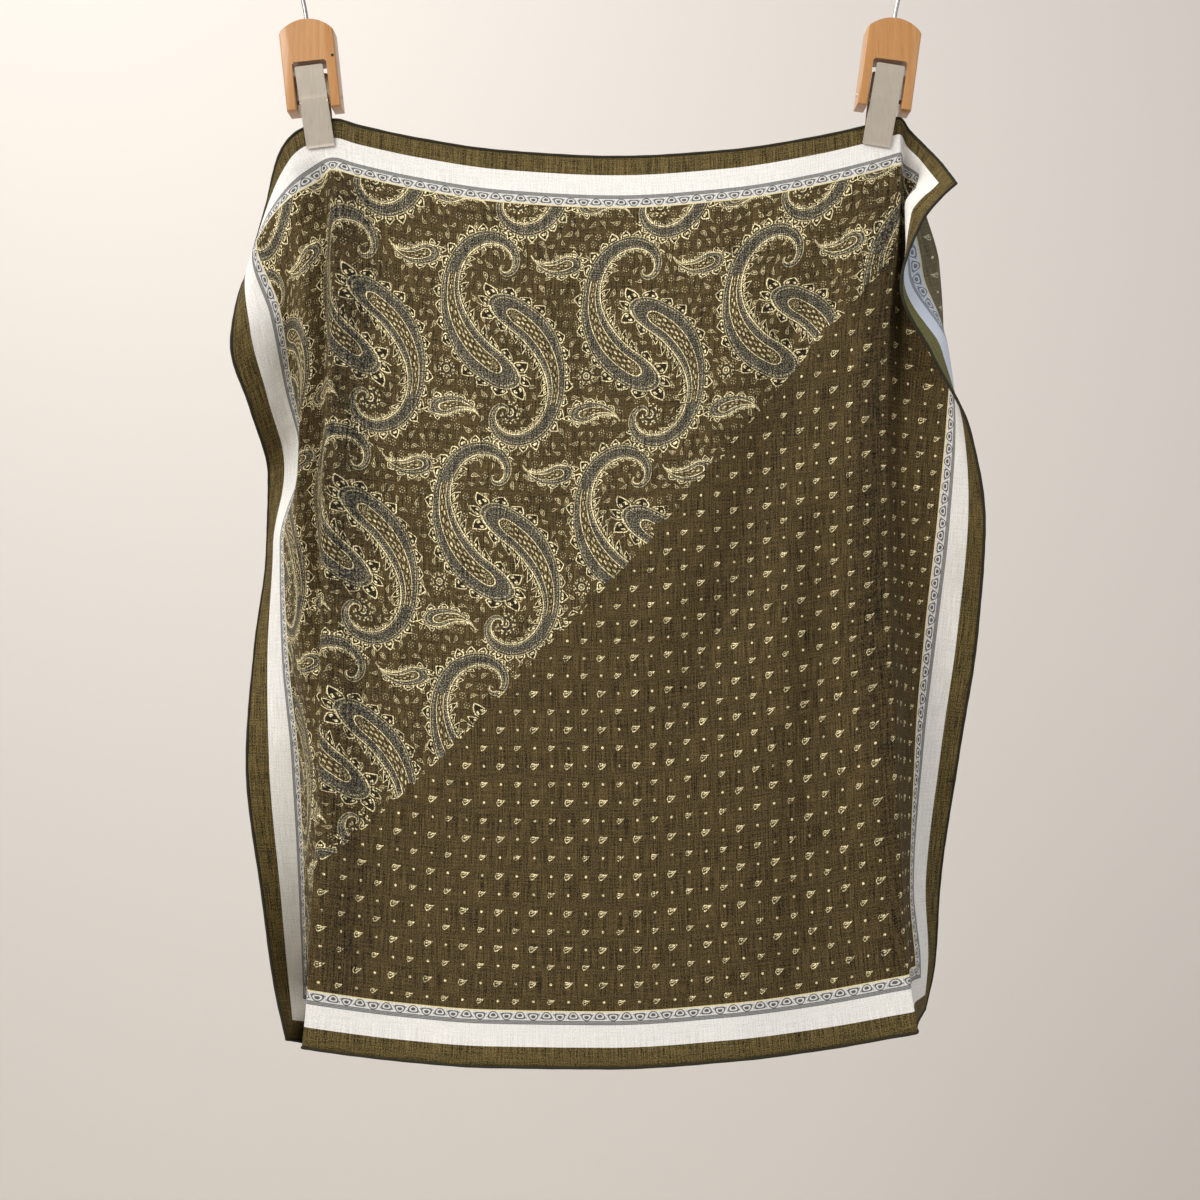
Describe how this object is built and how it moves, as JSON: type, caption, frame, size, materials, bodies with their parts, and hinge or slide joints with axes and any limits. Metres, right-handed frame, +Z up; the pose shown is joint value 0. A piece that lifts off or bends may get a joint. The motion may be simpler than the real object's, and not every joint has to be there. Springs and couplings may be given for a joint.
{
  "type": "silk square scarf on wood and steel clip hooks",
  "caption": "Printed silk square scarf with a rolled hem, hung by its top edge from sprung steel jaws in wood blocks on open wire hooks, its sides folded softly round.",
  "frame": {"origin": "on the rail's axis, midway between the hooks", "axes": "+X to the right along the rail as seen from the face, +Y towards the back, +Z up"},
  "size_m": [0.5343, 0.123, 0.8227],
  "materials": {
    "cloth": "matt printed plain weave",
    "hem": "matt rolled hem",
    "wood": "satin lacquered beech",
    "steel": "brushed",
    "wire": "bright drawn wire"
  },
  "bodies": {
    "root": {"scarf_cloth": "cloth", "hem_top": "hem", "hem_bottom": "hem", "hem_left": "hem", "hem_right": "hem", "left_block": "wood", "left_front_jaw": "steel", "left_back_jaw": "steel", "left_pin": "steel", "left_spring": "wire", "left_hook": "wire", "right_block": "wood", "right_front_jaw": "steel", "right_back_jaw": "steel", "right_pin": "steel", "right_spring": "wire", "right_hook": "wire"}
  },
  "joints": []
}
